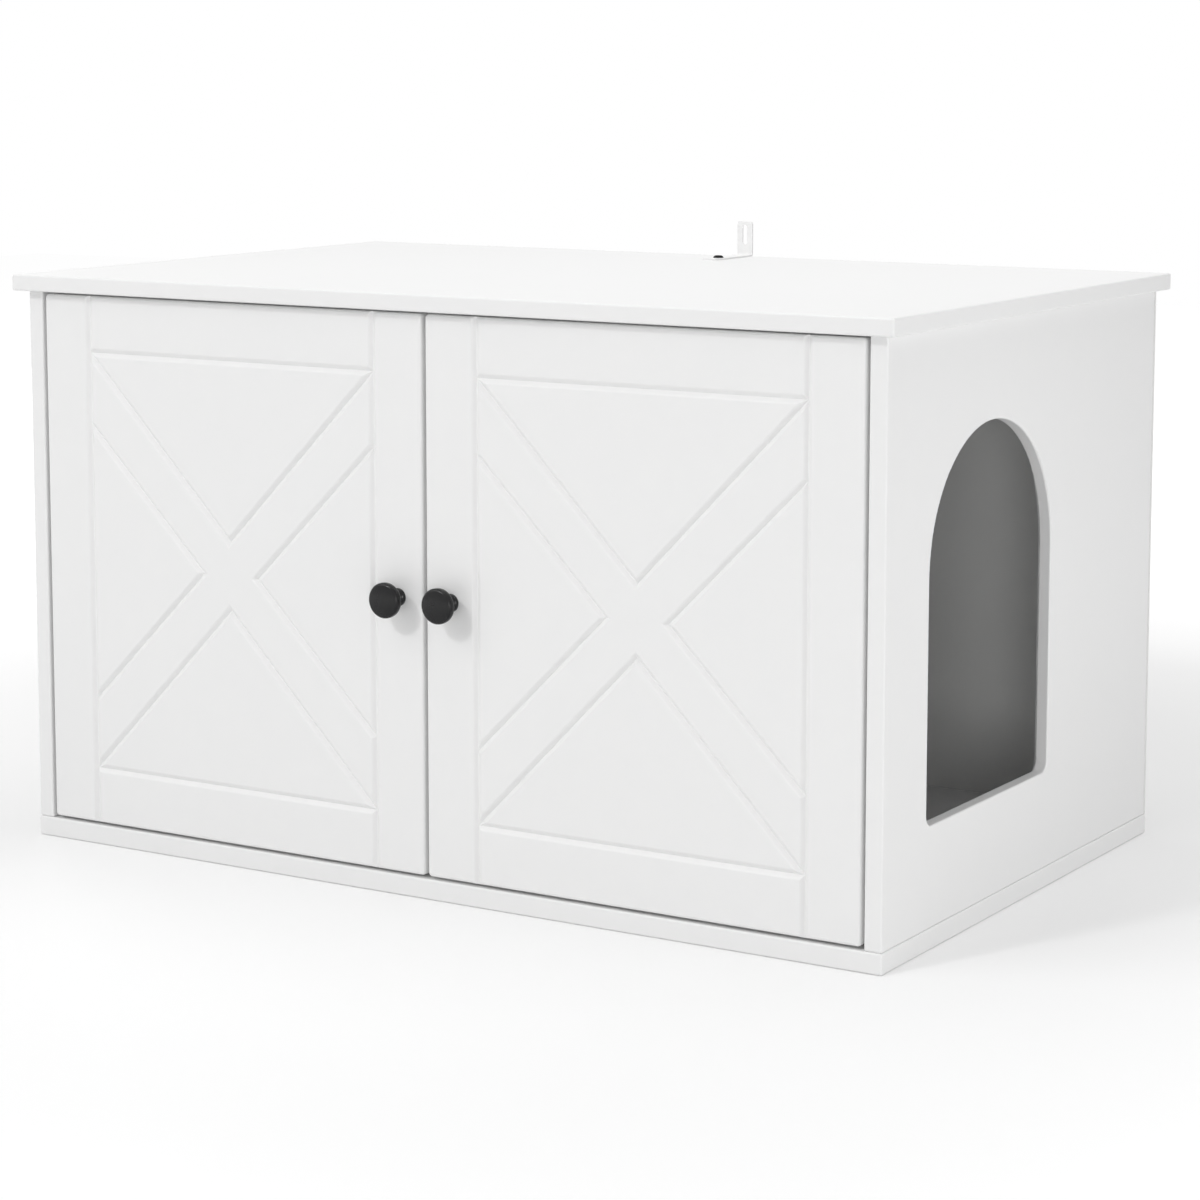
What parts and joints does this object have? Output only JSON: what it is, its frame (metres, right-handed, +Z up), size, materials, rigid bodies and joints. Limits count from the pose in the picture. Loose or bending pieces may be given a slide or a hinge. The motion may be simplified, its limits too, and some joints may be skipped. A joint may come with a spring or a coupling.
{
  "type": "cat house",
  "caption": "White board cat house cabinet with crossed-bar doors, black knobs, an arched side entrance and a wall bracket, for hiding a litter box.",
  "frame": {"origin": "centre of the underside of the bottom board, on the floor", "axes": "+Z up; the doors face -Y; +X to the right of someone who faces the doors, towards the entrance"},
  "size_m": [0.9, 0.5828, 0.5605],
  "materials": {
    "painted_board": "white satin paint on fibreboard",
    "back_board": "white-faced hardboard",
    "beech": "bare beech",
    "plated_steel": "zinc plated",
    "cast_zinc": "die-cast zinc",
    "hinge_steel": "nickel-plated pressed steel",
    "white_plastic": "moulded",
    "ferrite": "sintered magnet",
    "white_steel": "white powder coat",
    "black_screw": "black oxide",
    "black_knob": "matte black"
  },
  "bodies": {
    "cabinet": {"bottom_panel": "painted_board", "left_side_panel": "painted_board", "right_side_panel": "painted_board", "top_panel": "painted_board", "back_panel": "back_board", "back_panel_nails": "plated_steel", "wooden_dowels": "beech", "bottom_screws": "plated_steel", "cam_bolts": "plated_steel", "cam_discs": "cast_zinc", "right_upper_hinge_arm": "hinge_steel", "right_lower_hinge_arm": "hinge_steel", "left_upper_hinge_arm": "hinge_steel", "left_lower_hinge_arm": "hinge_steel", "hinge_arm_screws": "plated_steel", "catch_housing": "white_plastic", "catch_magnets": "ferrite", "catch_pole_plates": "plated_steel", "catch_screws": "plated_steel", "wall_bracket": "white_steel", "wall_bracket_screw": "black_screw"},
    "left_door": {"left_door_panel": "painted_board", "left_door_knob": "black_knob", "left_knob_screw": "plated_steel", "left_hinge_cups": "hinge_steel", "left_hinge_cup_screws": "plated_steel", "left_hinge_pins": "plated_steel", "left_strike_plate": "plated_steel", "left_strike_screw": "plated_steel"},
    "right_door": {"right_door_panel": "painted_board", "right_door_knob": "black_knob", "right_knob_screw": "plated_steel", "right_hinge_cups": "hinge_steel", "right_hinge_cup_screws": "plated_steel", "right_hinge_pins": "plated_steel", "right_strike_plate": "plated_steel", "right_strike_screw": "plated_steel"}
  },
  "joints": [
    {"name": "left_door_hinge", "type": "hinge", "parent": "cabinet", "child": "left_door", "pos_m": [-0.4105, -0.2662, 0.26445], "axis": [0, 0, -1], "range_deg": [0, 95]},
    {"name": "right_door_hinge", "type": "hinge", "parent": "cabinet", "child": "right_door", "pos_m": [0.4105, -0.2662, 0.26445], "axis": [0, 0, 1], "range_deg": [0, 95]}
  ]
}
